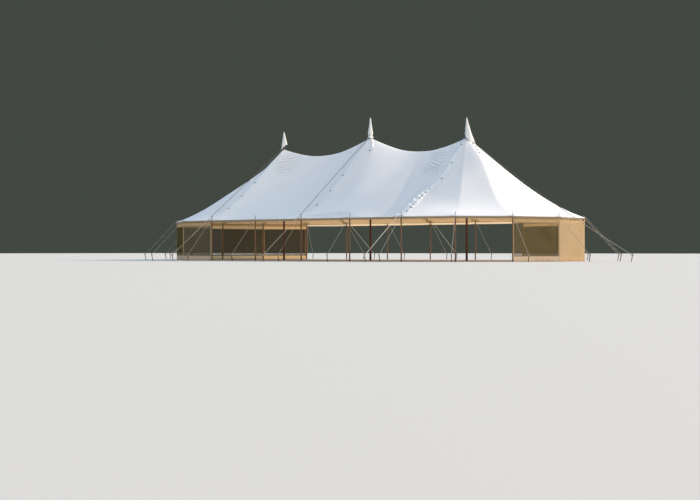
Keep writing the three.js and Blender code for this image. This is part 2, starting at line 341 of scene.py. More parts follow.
# King poles
# Three tapered poles of red-brown stained pine that carry the ridge. A steel spike at each head
# goes through the canvas and holds up the cap.
PEAK_Z = {"left": 6.36, "middle": 6.71, "right": 6.38}
CAP_TIP_Z = {"left": 7.36, "middle": 7.79, "right": 7.41}
KING_RADIUS = 0.050
KING_FOOT_RADIUS = 0.058
KING_HEAD = 0.300
KING_FERRULE = 0.08
KING_TAPER_FROM = 3.0
SPIKE_RADIUS = 0.012
SPIKE_BELOW_TIP = 0.060

king_wood = wood("stained_pine", (0.10, 0.026, 0.012, 1), (0.28, 0.085, 0.036, 1), 48.0)

for side, foot in king_feet.items():
    peak = PEAK_Z[side]
    shoulder = peak + KING_HEAD
    spike = CAP_TIP_Z[side] - SPIKE_BELOW_TIP
    joint = shoulder - KING_FERRULE
    collar = KING_RADIUS + FERRULE_WALL
    bm = bmesh.new()
    turned(bm, [(0, 0), (KING_FOOT_RADIUS - 0.008, 0), (KING_FOOT_RADIUS, 0.01),
                (KING_RADIUS, peak - KING_TAPER_FROM), (KING_RADIUS, joint), (0, joint)],
           foot, steps=36)
    turned(bm, [(0, joint), (collar, joint), (collar, shoulder - 0.006),
                (KING_RADIUS - 0.006, shoulder), (SPIKE_RADIUS, shoulder),
                (SPIKE_RADIUS, spike - 0.02), (0, spike)], foot, material=1, steps=36)
    face_outwards(bm)
    pole = make_piece(f"king_pole_{side}_turned", bm, [king_wood, zinc])
    keep_sharp(pole)
    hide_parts(f"king_pole_{side}")


# Roof canvas
# White cotton canvas in four sections, sewn from metre-wide cloths that run down the slope. The
# two straight sections sag between the king poles, the round ends are fans of seven gores, and
# the eave turns down in a hem over the wall.
EAVE_Z = 2.160
HEM_DEPTH = 0.120
EAVE_OUT = 0.0696
HALF_WIDTH = abs(pole_feet["front_1"].y)
EDGE = HALF_WIDTH + EAVE_OUT
BAY = pole_feet["front_2"].x - pole_feet["front_1"].x
SPAN = 2 * BAY
HOLLOW = 0.48
HOLLOW_POWER = 1.6
SADDLE_Z = (5.93, 5.86)
CANVAS = 0.004
# Every second join between the cloths is a felled seam that shows
CLOTHS_PER_BAY = 3
CLOTHS_PER_SEAM = 2
SLOPE_LENGTH = 1.16 * EDGE
SLOPE_ROWS = 165
# Rows stand closer in the creased cloth: pairs of the share of the rows and the share of the slope
ROWS_DOWN = ((0, 0), (0.60, 0.43), (0.80, 0.86), (1, 1))
HEM_ROWS = 3
BAY_COLUMNS = 112
GORE_COLUMNS = 18
END_ROWS = 120
PEAK_HOLE = 0.056
RIDGE_ROUND = 0.10
HALF_GAP = 0.00015
HEM_RIPPLE = 0.012
PULL_HEIGHT = 0.012
PULL_REACH = 0.9
PIN_ABOVE_EAVE = 0.08

# The round ends hang a little lower between their laced edges, and the left one falls away below
# its peak. At the front of the right end the cloth is strained up along the second seam, and
# sinks along the first seam below that.
END_SLACK = 0.055
GORE_SLACK = 0.010
# The depth, the share of the slope where it is greatest, and how far it reaches down from there
SEAM_SINK = (0.24, 0.72, 0.27)
SEAM_LIFT = (0.38, 0.32, 0.34)
SHOULDER_SINK = (0.25, 0.11, 0.5)

# The lines of strain across each straight section, from its left edge to its right: the share of
# the section's width at the ridge and at the eave, how far the cloth lifts there half way down,
# and whether the valley is sharp
FOLDS = (
    ((0, 0, 0.0, False), (0.56, 0.60, -0.30, False), (1, 1, 0.0, False)),
    ((0, 0, 0.0, False), (0.08, 0.44, 0.24, False), (0.54, 0.79, -0.25, True), (1, 1, 0.0, False)),
)

# Patches of strained, creased cloth: their centre, the half length and half width of the patch,
# the way the creases run from +X, their pitch and their depth
CREASES = (
    ((-5.18, -0.82), 0.90, 0.92, 0.64, 0.205, 0.034),
    ((-5.18, 0.82), 0.90, 0.92, -0.64, 0.205, 0.034),
    ((4.79, -0.66), 0.85, 0.38, -0.40, 0.142, 0.022),
    ((5.02, -1.62), 1.05, 0.62, -0.62, 0.150, 0.030),
    ((5.02, 1.62), 1.05, 0.62, 0.62, 0.150, 0.030),
    ((0.9, -5.84), 1.60, 0.30, 0.05, 0.200, 0.022),
    ((2.45, -5.84), 0.70, 0.30, -0.22, 0.180, 0.026),
    ((4.9, -5.84), 0.95, 0.26, -0.03, 0.190, 0.020),
)


def fall(t):
    """How much of the roof's height is left at a share t of the way down from the ridge."""
    return (1 - t) * (1 - HOLLOW * t ** HOLLOW_POWER)


def bump_at(x, centre, width):
    """A smooth hump of height 1 that is gone at one width from its centre."""
    reach = min(abs(x - centre) / width, 1)
    return (1 + math.cos(math.pi * reach)) / 2


def ridge_z(bay, share):
    start, end = PEAK_Z[KINGS[bay]], PEAK_Z[KINGS[bay + 1]]
    sag = (start + end) / 2 - SADDLE_Z[bay]
    return start + (end - start) * share - 4 * sag * share * (1 - share)


def fold_height(bay, share, t):
    """How far a strain line lifts or sinks the cloth."""
    lines = [(top + (foot - top) * t, height, sharp) for top, foot, height, sharp in FOLDS[bay]]
    right = next(i for i in range(1, len(lines)) if share <= lines[i][0] or i == len(lines) - 1)
    (x0, h0, sharp0), (x1, h1, sharp1) = lines[right - 1:right + 1]
    u = min(max((share - x0) / (x1 - x0), 0), 1)
    if h1 < 0:
        eased = u ** 2.1 if sharp1 else u * (2 - u)
    elif h0 < 0:
        eased = 1 - (1 - u) ** 1.6 if sharp0 else u * u
    else:
        eased = u * u * (3 - 2 * u)
    return (h0 + (h1 - h0) * eased) * (4 * t * (1 - t)) ** 0.65


def creases(x, y):
    """Small irregular creases in the strained patches: broad crests and sharp hollows. Gives their
    height and the painted shade that darkens their hollows."""
    height = soil_and_shade = 0.0
    for i, (centre, long, wide, turn, pitch, depth) in enumerate(CREASES):
        dx, dy = x - centre[0], y - centre[1]
        along = dx * math.cos(turn) + dy * math.sin(turn)
        across = dy * math.cos(turn) - dx * math.sin(turn)
        reach = math.hypot(along / long, across / wide)
        if reach >= 1:
            continue
        drift = noise.noise(Vector((along * 0.8, across * 1.1, 5 * i)))
        broken = 0.5 + 0.5 * noise.noise(Vector((along * 1.9, across * 6.0, 5 * i + 2)))
        wave = abs(math.sin(math.pi * (across + 0.16 * drift) / pitch))
        strength = (1 - reach**2) * (0.3 + 1.2 * broken)
        height += depth * strength * (2 * wave - 1)
        # Painted shade in the hollows, stronger where the creases are deeper
        soil_and_shade += min(1.4 * strength, 1) * (1 - wave) ** 2
    return height, soil_and_shade


def pull_at_pin(along_bays, up):
    """Cloth strained round a pole's pin stands a little higher, in short radial pleats."""
    offset = (along_bays - round(along_bays)) * BAY
    above = up - PIN_ABOVE_EAVE
    reach = math.hypot(offset, above)
    if reach > PULL_REACH:
        return 0.0
    pleats = math.cos(7 * math.atan2(above, offset))
    return PULL_HEIGHT * (1 - reach / PULL_REACH) ** 2 * (1 + pleats * min(reach / 0.15, 1))


def bay_z(bay, x, y):
    """The height of the roof's outer face over a straight section."""
    share = (x - king_feet[KINGS[bay]].x) / SPAN
    t = min(abs(y) / EDGE, 1)
    up = (1 - t) * SLOPE_LENGTH
    ridge = ridge_z(bay, share)
    crest = math.hypot(y, RIDGE_ROUND * min(1, 3 * share, 3 * (1 - share)) ** 2) - abs(y)
    smooth = EAVE_Z + (ridge - EAVE_Z) * fall(t) + fold_height(bay, share, t) - 0.6 * crest
    return smooth + creases(x, y)[0] + pull_at_pin((x - pole_feet["front_1"].x) / BAY, up)


def end_z(side, along, t):
    """The height over a round end, at a place counted in gores and a share of the way down."""
    share = along % 1
    from_edge = min(along, END_POLES + 1 - along)
    slack = END_SLACK * math.sin(math.pi * t ** 0.75) * bump_at(min(from_edge, 1.8), 1.8, 1.2)
    if side == "right":
        depth, lowest, reach = SEAM_SINK
        strained = along if along < 1 else max(1 - (along - 1) / 3, 0) ** 1.3
        slack += depth * bump_at(t, lowest, reach) * strained
        depth, highest, reach = SEAM_LIFT
        beside = bump_at(along, 2.0, 1.7 if along < 2 else 1.2)
        slack -= depth * bump_at(t, highest, reach) * beside
    else:
        depth, lowest, reach = SHOULDER_SINK
        hollow = bump_at(t, lowest, lowest if t < lowest else reach)
        slack += depth * hollow * bump_at(min(from_edge, 1.2), 1.2, 1.2)
    slack += GORE_SLACK * 4 * share * (1 - share) * math.sin(math.pi * t)
    smooth = EAVE_Z + (PEAK_Z[side] - EAVE_Z) * fall(t) - slack
    return smooth + pull_at_pin(along, (1 - t) * SLOPE_LENGTH)


def roof_z(x, y):
    """The height of the roof's outer face at any place."""
    for side, sign in (("left", -1), ("right", 1)):
        away = Vector((x, y, 0)) - king_feet[side]
        if away.x * sign > 0:
            turn = math.atan2(away.x * sign, -y)
            gore = min(int(turn / END_STEP), END_POLES)
            middle = (gore + 0.5) * END_STEP
            out = away.dot(Vector((sign * math.sin(middle), -math.cos(middle), 0)))
            across = away.dot(Vector((sign * math.cos(middle), math.sin(middle), 0)))
            half = math.tan(END_STEP / 2)
            reach = HALF_WIDTH * math.cos(END_STEP / 2) + EAVE_OUT
            return end_z(side, gore + 0.5 + across / (2 * half * out), min(out / reach, 1))
    return bay_z(0 if x < king_feet["middle"].x else 1, x, y)


def grid(columns, rows, *layers):
    """A flat grid, its layers, and each corner with its shares of the way across and up."""
    bm = bmesh.new()
    bmesh.ops.create_grid(bm, x_segments=columns, y_segments=rows, size=1)
    made = [bm.verts.layers.float.new(layer) for layer in layers]
    return bm, made, [(v, (v.co.x + 1) / 2, (v.co.y + 1) / 2) for v in bm.verts]


def lay_out_cloth(bm, spots):
    """Gives the cloth its UV map, in bays along the eave and metres up the slope."""
    uv = bm.loops.layers.uv.new("cloth")
    for face in bm.faces:
        for loop in face.loops:
            loop[uv].uv = spots(face, loop.vert)


def face_upwards(bm):
    face_outwards(bm)
    if sum(face.normal.z for face in bm.faces) < 0:
        bmesh.ops.reverse_faces(bm, faces=bm.faces[:])


def slope_share(rows):
    """The share of the slope above a share of the rows."""
    i = next(i for i in range(1, len(ROWS_DOWN)) if rows <= ROWS_DOWN[i][0])
    (r0, t0), (r1, t1) = ROWS_DOWN[i - 1:i + 1]
    return t0 + (t1 - t0) * (rows - r0) / (r1 - r0)


def roof_bay(bay):
    """One straight section, from the front hem over the ridge to the rear hem."""
    start = king_feet[KINGS[bay]].x + HALF_GAP
    end = king_feet[KINGS[bay + 1]].x - HALF_GAP
    lines = 2 * (SLOPE_ROWS + HEM_ROWS)
    bm, (edge_layer, crease_shade_layer), corners = grid(BAY_COLUMNS, lines, "edge_gap", "crease_painted_shade")
    up_of = {}
    for v, share, line in corners:
        line = round(line * lines)
        share = share ** 1.25 if bay == 0 else 1 - (1 - share) ** 1.25
        side = -1 if line <= lines / 2 else 1
        row = line if side < 0 else lines - line
        x = start + (end - start) * share
        along = (x - pole_feet["front_1"].x) / BAY
        t = slope_share(1 - max(row - HEM_ROWS, 0) / SLOPE_ROWS)
        y = side * EDGE * t
        up = (1 - t) * SLOPE_LENGTH
        z = bay_z(bay, x, y)
        if row < HEM_ROWS:
            hang = 1 - row / HEM_ROWS
            z -= HEM_DEPTH * hang
            ripple = noise.noise(Vector((x * 2.2, side * 5.0, 0)))
            y += side * HEM_RIPPLE * hang * ripple
            up = -HEM_DEPTH * hang
        gap = Vector((x - (start if share < 0.5 else end), y))
        if gap.length < PEAK_HOLE and abs(y) < PEAK_HOLE:
            x += math.copysign(math.sqrt(PEAK_HOLE**2 - y**2) - abs(gap.x), gap.x or 0.5 - share)
        v.co = (x, y, z)
        v[edge_layer] = min(abs(x - start), abs(x - end), 1.12 * abs(y) + 0.01)
        v[crease_shade_layer] = creases(x, y)[1]
        up_of[v.index] = (along, up)
    bm.verts.index_update()
    lay_out_cloth(bm, lambda face, v: up_of[v.index])
    face_upwards(bm)
    return bm


def roof_end(side):
    """One round end: seven gores from a ring round the king pole down to the hem."""
    king = king_feet[side]
    places = round_the_end(side)
    gores = len(places) - 1
    lines = END_ROWS + HEM_ROWS
    gap = -HALF_GAP if side == "left" else HALF_GAP
    bm, (edge_layer,), corners = grid(gores * GORE_COLUMNS, lines, "edge_gap")
    spot_of = {}
    for v, across, up in corners:
        along = round(across * gores * GORE_COLUMNS) / GORE_COLUMNS
        row = round(up * lines)
        share = along - math.floor(along)
        t = 1 - max(row - HEM_ROWS, 0) / END_ROWS * (1 - PEAK_HOLE / EDGE)
        rim = plan_point(places, along, EAVE_OUT)
        up = (1 - t) * SLOPE_LENGTH
        z = end_z(side, along, t)
        out = 0.0
        if row < HEM_ROWS:
            hang = 1 - row / HEM_ROWS
            z -= HEM_DEPTH * hang
            out = HEM_RIPPLE * hang * noise.noise(Vector((rim.x * 2.2, rim.y * 2.2, 0)))
            up = -HEM_DEPTH * hang
        spot = king + (rim - king) * (t + out / EDGE)
        v.co = (spot.x + gap, spot.y, z)
        chord = (rim - king).length * t * 2 * math.tan(END_STEP / 2)
        v[edge_layer] = min(share, 1 - share) * chord
        spot_of[v.index] = (along, up, t)
    bm.verts.index_update()

    def spots(face, v):
        along, up, t = spot_of[v.index]
        middle = sum(spot_of[w.index][0] for w in face.verts) / 4
        gore = math.floor(middle)
        return gore + 0.5 + (along - gore - 0.5) * t, up

    lay_out_cloth(bm, spots)
    face_upwards(bm)
    return bm


# The plain weave of heavy cotton: two crossed ribs of thread
plain_weave, source, result = effect(
    "plain_weave",
    [("Vector", "NodeSocketVector", None), ("Threads", "NodeSocketFloat", 700.0)],
    [("Height", "NodeSocketFloat")],
)
scaled = node(plain_weave, "ShaderNodeVectorMath",
              [(0, source["Vector"]), ("Scale", source["Threads"])], operation="SCALE")
turns = node(plain_weave, "ShaderNodeVectorMath", [(0, scaled.outputs[0])], operation="SINE")
parts = node(plain_weave, "ShaderNodeSeparateXYZ", [("Vector", turns.outputs[0])])
crossed = maths(plain_weave, "MULTIPLY", parts.outputs[0], parts.outputs[1])
feed(plain_weave, result, [("Height", crossed)])

# Flat-felled seams between the cloths, with a row of stitches on each side of the lap
felled_seams, source, result = effect(
    "felled_seams",
    [("Vector", "NodeSocketVector", None), ("Bay", "NodeSocketFloat", 3.0),
     ("Edge Gap", "NodeSocketFloat", 1.0)],
    [("Lap", "NodeSocketFloat"), ("Stitches", "NodeSocketFloat"), ("Hem", "NodeSocketFloat"),
     ("Patch", "NodeSocketFloat"), ("Valance", "NodeSocketFloat")],
)
LAP_HALF = 0.014
HEM_LAP = 0.06
PATCH_HALF = 0.24
place = node(felled_seams, "ShaderNodeSeparateXYZ", [("Vector", source["Vector"])])
along, up = place.outputs[0], place.outputs[1]
cloths = maths(felled_seams, "MULTIPLY", along, CLOTHS_PER_BAY)
to_seam = maths(felled_seams, "PINGPONG", cloths, CLOTHS_PER_SEAM / 2)
cloth_width = maths(felled_seams, "DIVIDE", source["Bay"], CLOTHS_PER_BAY)
seam_gap = maths(felled_seams, "MULTIPLY", to_seam, cloth_width)
nearest = maths(felled_seams, "MINIMUM", seam_gap, source["Edge Gap"])
off_row = maths(felled_seams, "SUBTRACT", nearest, LAP_HALF * 0.75)
row_gap = maths(felled_seams, "ABSOLUTE", off_row)
to_pin = maths(felled_seams, "PINGPONG", along, 0.5)
pin_gap = maths(felled_seams, "MULTIPLY", to_pin, source["Bay"])
beside = remap(felled_seams, pin_gap, PATCH_HALF * 1.03, PATCH_HALF)
above = remap(felled_seams, up, PATCH_HALF * 1.53, PATCH_HALF * 1.5)
feed(felled_seams, result, [
    ("Lap", remap(felled_seams, nearest, LAP_HALF * 1.3, LAP_HALF)),
    ("Stitches", remap(felled_seams, row_gap, 0.0016, 0.0006)),
    ("Hem", remap(felled_seams, up, HEM_LAP * 1.05, HEM_LAP)),
    ("Patch", maths(felled_seams, "MULTIPLY", beside, above)),
    ("Valance", remap(felled_seams, up, -0.012, -0.022)),
])


def canvas(name, bay_width, fresh, seamed, soiled, valance, through, through_seam, share_through,
           through_edge=None):
    """Sewn canvas. Seams, hem and pole patches are double cloth, so less light comes through."""
    material, tree, shader = blank(name, 0.9, Sheen_Weight=0.12, Sheen_Roughness=0.5)
    place = place_of(tree)
    uv = node(tree, "ShaderNodeUVMap", uv_map="cloth").outputs["UV"]
    gap = node(tree, "ShaderNodeAttribute", attribute_name="edge_gap").outputs["Fac"]
    crease_shade_mask = node(tree, "ShaderNodeAttribute", attribute_name="crease_painted_shade").outputs["Fac"]
    seams = use(tree, felled_seams, [("Vector", uv), ("Bay", bay_width), ("Edge Gap", gap)]).outputs
    doubled = maths(tree, "MAXIMUM", seams["Lap"], seams["Patch"])
    doubled = maths(tree, "MAXIMUM", doubled, seams["Hem"])
    stains = use(tree, weather, [("Vector", place), ("Size", 0.9)]).outputs
    soil_and_shade = remap(tree, stains["Streak"], 0.45, 0.75, 0.0, 0.35)
    cloud = remap(tree, stains["Stain"], 0.3, 0.7, 0.0, 0.4)
    base = tint(tree, maths(tree, "MAXIMUM", soil_and_shade, cloud), fresh, soiled)
    # Painted shade in the crease hollows: the cloth there is darkened to two thirds of its
    # weathered colour
    base = tint(tree, crease_shade_mask, base, times(0.66, soiled))
    # Seams, hem and pole patches take the seamed colour, which inside the roof is painted shade
    base = tint(tree, doubled, base, seamed)
    # The hanging hem takes the valance colour: painted shade outside the roof, painted light inside
    # it
    base = tint(tree, seams["Valance"], base, valance)
    base = tint(tree, seams["Stitches"], base, times(0.9, seamed))
    feed(tree, shader, [("Base Color", base)])
    metres = stretch(tree, uv, (bay_width, 1, 1))
    weave = use(tree, plain_weave, [("Vector", metres), ("Threads", 3600.0)])
    threads = maths(tree, "MULTIPLY", weave.outputs["Height"], 0.12)
    height = maths(tree, "SUBTRACT", maths(tree, "ADD", threads, doubled), seams["Stitches"])
    relief(tree, shader, height, 0.0007)
    passed = tint(tree, doubled, through, through_seam)
    passed = tint(tree, seams["Valance"], passed, through_edge or through_seam)
    glow = node(tree, "ShaderNodeBsdfTranslucent", [("Color", passed)])
    passing = maths(tree, "MULTIPLY_ADD", seams["Valance"], VALANCE_SHARE, share_through)
    surface(tree, shader.outputs["BSDF"], glow.outputs[0], share=passing)
    return material


WHITE = (0.88, 0.885, 0.88, 1)
SEAM_WHITE = (0.87, 0.875, 0.868, 1)
WEATHERED_WHITE = (0.81, 0.82, 0.81, 1)
# Painted shade: the outside of the hem hanging below the eave is painted dark grey-olive
VALANCE_PAINTED_SHADE = (0.25, 0.24, 0.18, 1)
WHITE_GLOW = (0.93, 0.91, 0.88, 1)
SEAM_GLOW = (0.86, 0.84, 0.81, 1)
# The inside face of the white roof cloth is painted a warm tan that stands in for sunlight coming
# through it; its seams and pole patches are painted darker, as the shade of the double cloth
INSIDE_PAINTED_GLOW = (0.80, 0.62, 0.40, 1)
INSIDE_SEAM_PAINTED_SHADE = (0.58, 0.39, 0.20, 1)
INSIDE_WEATHERED_PAINTED_GLOW = (0.72, 0.53, 0.32, 1)
GLOW = (0.95, 0.72, 0.42, 1)
# Painted light: the inside of the hem is painted a lighter cream, as if sunlit through the cloth
EDGE_INSIDE_PAINTED_LIGHT = (0.92, 0.78, 0.54, 1)
EDGE_GLOW = (1.0, 0.83, 0.56, 1)
OUTER_SHARE = 0.25
INNER_SHARE = 0.62
VALANCE_SHARE = 0.33


def outer_cloth(label, bay_width):
    return canvas(f"roof_canvas_{label}_outside", bay_width, WHITE, SEAM_WHITE, WEATHERED_WHITE,
                  VALANCE_PAINTED_SHADE, WHITE_GLOW, SEAM_GLOW, OUTER_SHARE)


def inner_cloth(label, bay_width):
    return canvas(f"roof_canvas_{label}_inside", bay_width, INSIDE_PAINTED_GLOW, INSIDE_SEAM_PAINTED_SHADE, INSIDE_WEATHERED_PAINTED_GLOW,
                  EDGE_INSIDE_PAINTED_LIGHT, GLOW, times(0.65, GLOW), INNER_SHARE, EDGE_GLOW)


def give_wall(piece, thickness, outwards_share=-1.0, inner_material=1):
    wall = piece.modifiers.new("cloth_thickness", "SOLIDIFY")
    wall.thickness = thickness
    wall.offset = outwards_share
    wall.material_offset = inner_material
    wall.use_even_offset = False


GORE_EAVE = 2 * EDGE * math.tan(END_STEP / 2)
straight_cloth = [outer_cloth("straight", BAY), inner_cloth("straight", BAY)]
gore_cloth = [outer_cloth("gore", GORE_EAVE), inner_cloth("gore", GORE_EAVE)]

for bay, side in ((0, "left"), (1, "right")):
    roof = make_piece(f"roof_canvas_bay_{side}", roof_bay(bay), straight_cloth)
    give_wall(roof, CANVAS)
    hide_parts(f"roof_bay_{side}")

for side in ("left", "right"):
    roof = make_piece(f"roof_canvas_end_{side}", roof_end(side), gore_cloth)
    give_wall(roof, CANVAS)
    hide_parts(f"roof_end_{side}")


# Lacing and its flaps
# The sections of the roof are laced together down the line of each king pole with rope loops and
# wooden toggles. A double strip of canvas, sewn to one section, lies over the lacing.
FLAP_HALF = 0.13
FLAP_CLOTH = 0.003
FLAP_LIFT = 0.010
FLAP_CURL = 0.014
FLAP_FROM, FLAP_TO = 0.022, 0.986
FLAP_ROWS, FLAP_COLUMNS = 200, 12
FLAP_WIDER = 0.27
FLAP_BOW = 0.26
GATHER_PITCH = 0.33
GATHER_HEIGHT = 0.220
TOGGLE_HALF = 0.055
TOGGLE_RADIUS = 0.016
LOOP_ROPE = 0.006
# How far each toggle lies from the ridge, on the level
TOGGLES_OUT = {
    "left": (2.57, 3.65, 4.77),
    "middle": (2.57, 3.65, 4.77),
    "right": (0.55, 1.76, 2.82, 3.66, 3.95, 4.25, 4.47, 4.80, 5.02, 5.24, 5.61),
}


def lacing_x(side, t):
    """The line of the lacing, which the slack cloth pulls to the right at the right king pole."""
    return king_feet[side].x + (FLAP_BOW * bump_at(t, 0.40, 0.27) if side == "right" else 0)


def flap_left(side, end, t):
    """How far the flap reaches left of the lacing. The front right one widens towards the eave."""
    if side != "right" or end > 0:
        return FLAP_HALF
    u = min(max((t - 0.64) / 0.30, 0), 1)
    return FLAP_HALF + FLAP_WIDER * u * u * (3 - 2 * u)


def flap_lift(side, end, t, u):
    """The flap's height over the roof. Its edges curl, and the front right one stands up in waves
    along its free edge where the lacing is drawn tight."""
    lift = FLAP_LIFT + FLAP_CURL * abs(2 * u - 1) ** 5
    if side == "right" and end < 0:
        drift = 2.2 * noise.noise(Vector((u, t * 9, 4)))
        wave = math.sin(math.tau * t * EDGE / GATHER_PITCH + drift)
        lift += GATHER_HEIGHT * bump_at(t, 0.74, 0.24) * (1 - u) * (0.80 + 0.20 * wave)
    return lift


def flap(side, end):
    """One flap, from beside the peak down to the eave. end is -1 at the front and 1 at the rear."""
    bm, (edge_layer,), corners = grid(FLAP_COLUMNS, FLAP_ROWS, "edge_gap")
    spot_of = {}
    for v, u, down in corners:
        t = FLAP_FROM + (FLAP_TO - FLAP_FROM) * down
        left = flap_left(side, end, t)
        width = left + FLAP_HALF
        x = lacing_x(side, t) - left + width * u
        y = end * EDGE * t
        v.co = (x, y, roof_z(x, y) + flap_lift(side, end, t, u))
        v[edge_layer] = min(u, 1 - u) * width + 0.01
        spot_of[v.index] = (0.5 / CLOTHS_PER_BAY + (u - 0.5) * width / BAY,
                            1 + (1 - t) * SLOPE_LENGTH)
    lay_out_cloth(bm, lambda face, v: spot_of[v.index])
    face_upwards(bm)
    return bm


def place_copy(bm, mesh, matrix, material=0):
    """Adds a copy of a small mesh to a piece."""
    corners, sides = len(bm.verts), len(bm.faces)
    bm.from_mesh(mesh)
    bm.verts.ensure_lookup_table()
    bm.faces.ensure_lookup_table()
    bmesh.ops.transform(bm, matrix=matrix, verts=bm.verts[corners:])
    for face in bm.faces[sides:]:
        face.material_index = material


def rope_ring(radius, across):
    """One turn of rope round a post of radius across."""
    bm = bmesh.new()
    ring = bmesh.ops.create_circle(bm, segments=8, radius=radius)["verts"]
    bmesh.ops.rotate(bm, verts=ring, cent=(0, 0, 0),
                     matrix=Matrix.Rotation(math.pi / 2, 3, "X"))
    bmesh.ops.translate(bm, verts=ring, vec=(across + radius, 0, 0))
    bmesh.ops.spin(bm, geom=ring + bm.edges[:], cent=(0, 0, 0), axis=(0, 0, 1), dvec=(0, 0, 0),
                   angle=math.tau, steps=20, use_merge=True, use_duplicate=False)
    return mesh_of(f"rope_ring_{across}", bm)


def toggle_mesh():
    """A short turned bar with a waist for its loop, lying along X."""
    bm = bmesh.new()
    half = [(0.55, -1), (0.9, -0.94), (1, -0.8), (1, -0.3), (0.7, 0)]
    shape = [(0, -1)] + half + [(r, -z) for r, z in reversed(half[:-1])] + [(0, 1)]
    turned(bm, [(r * TOGGLE_RADIUS, z * TOGGLE_HALF) for r, z in shape], Vector((0, 0, 0)),
           steps=12)
    face_outwards(bm)
    bmesh.ops.rotate(bm, verts=bm.verts[:], cent=(0, 0, 0),
                     matrix=Matrix.Rotation(math.pi / 2, 3, "Y"))
    return mesh_of("toggle", bm)


def hemp(name, low, high, old, painted_shade_over_canvas):
    """Laid hemp with loose fibres and worn patches. The lengths that lie above the canvas are
    painted darker, as shade.
    """
    material, tree, shader = blank(name, 0.88, Sheen_Weight=0.2)
    place = place_of(tree)
    fibres = cloudy(tree, place, 260.0, 4.0, 0.7)
    stains = use(tree, weather, [("Vector", place), ("Size", 1.6)])
    worn = remap(tree, stains.outputs["Stain"], 0.42, 0.7, 0.0, 0.5)
    aged_and_shaded = tint(tree, worn, tint(tree, fibres, low, high), old)
    # Painted shade on the rope where it lies above the eave, over the canvas
    aged_and_shaded = tint(tree, remap(tree, height_of(tree, place), 2.25, 2.55), aged_and_shaded, painted_shade_over_canvas)
    feed(tree, shader, [("Base Color", aged_and_shaded)])
    relief(tree, shader, fibres, 0.0015)
    return material


# The last colour of each rope is the painted shade of its lengths above the canvas
rope_fibre = hemp("hemp_rope", (0.22, 0.18, 0.12, 1), (0.50, 0.43, 0.31, 1), (0.24, 0.21, 0.16, 1),
                  (0.055, 0.045, 0.034, 1))
pale_fibre = hemp("pale_hemp_rope", (0.36, 0.32, 0.26, 1), (0.60, 0.56, 0.48, 1),
                  (0.34, 0.31, 0.26, 1), (0.29, 0.32, 0.36, 1))
toggle_wood = wood("toggle_ash", (0.05, 0.022, 0.010, 1), (0.16, 0.08, 0.035, 1), 140.0)
flap_canvas = canvas("flap_canvas", BAY, WHITE, SEAM_WHITE, WEATHERED_WHITE, WHITE, WHITE_GLOW,
                     SEAM_GLOW, OUTER_SHARE)
toggle_bar = toggle_mesh()
toggle_loop = rope_ring(LOOP_ROPE, TOGGLE_RADIUS * 0.72)
# Places of the toggles that lie beside the lacing: one at the end of the middle cap's strap, and
# four below the right cap
LOOSE_TOGGLES = {
    "left": (),
    "middle": ((0.555, -0.840),),
    "right": ((6.60, -0.27), (6.82, -0.40), (7.06, -0.60), (7.30, -0.79)),
}

for side, foot in king_feet.items():
    for end, label in ((-1, "front"), (1, "rear")):
        strip = make_piece(f"lacing_flap_{side}_{label}", flap(side, end), [flap_canvas])
        give_wall(strip, FLAP_CLOTH, inner_material=0)
        widest = flap_left(side, end, FLAP_TO) + FLAP_HALF
        bm = bmesh.new()
        marks = [(lacing_x(side, out / EDGE), end * out) for out in TOGGLES_OUT[side]]
        for x, y in marks + list(LOOSE_TOGGLES[side] if end < 0 else ()):
            lift = flap_lift(side, end, abs(y) / EDGE, 0.5) + FLAP_CLOTH + TOGGLE_RADIUS
            spot = Vector((x, y, roof_z(x, y) + lift))
            skew = Matrix.Rotation(0.25 * math.sin(7 * y), 4, "Z")
            place_copy(bm, toggle_bar, Matrix.Translation(spot) @ skew)
            upright = Matrix.Rotation(math.pi / 2, 4, "Y")
            place_copy(bm, toggle_loop, Matrix.Translation(spot) @ skew @ upright, material=1)
        row = make_piece(f"lacing_toggles_{side}_{label}", bm, [toggle_wood, rope_fibre])
        keep_sharp(row)


# Pole caps
# Loose pointed caps of white canvas that keep the rain off the holes in the roof. Each is sewn
# from four gores, hangs from the tip of its king pole's spike and is drawn down over the peak.
CAP_CLOTH = 0.003
CAP_GORES = 4
CAP_STEPS = 56
CAP_ROWS = 30
ROLL_ROWS = 6
ROLL_RADIUS = 0.013
ROLL_TURN = math.radians(300) / ROLL_ROWS

# The way the long side of each cap points, in degrees from +X, and pairs of drop below the tip and
# reach from the pole, down the short side and down the long side
CAP_SHAPES = {
    "left": (236, ((0, 0.012), (0.06, 0.030), (0.34, 0.100), (0.70, 0.180)),
             ((0, 0.012), (0.06, 0.026), (0.45, 0.074), (0.98, 0.145))),
    "middle": (308, ((0, 0.016), (0.06, 0.032), (0.33, 0.058), (0.62, 0.095), (0.86, 0.128),
                     (0.96, 0.100), (1.05, 0.130)),
               ((0, 0.016), (0.06, 0.032), (0.33, 0.058), (0.62, 0.098), (0.88, 0.132),
                (0.99, 0.108), (1.11, 0.165))),
    "right": (30, ((0, 0.012), (0.06, 0.026), (0.40, 0.052), (0.80, 0.082)),
              ((0, 0.012), (0.06, 0.030), (0.75, 0.215), (1.50, 0.470))),
}


def smooth_between(points, share):
    """The place at a share along a smooth curve through points."""
    place = share * (len(points) - 1)
    i = min(int(place), len(points) - 2)
    u = place - i
    last = len(points) - 1
    p0, p1, p2, p3 = (Vector(points[min(max(j, 0), last)]) for j in range(i - 1, i + 3))
    bend = (2 * p0 - 5 * p1 + 4 * p2 - p3) * u * u + (3 * p1 - p0 - 3 * p2 + p3) * u**3
    return p1 + ((p2 - p0) * u + bend) / 2


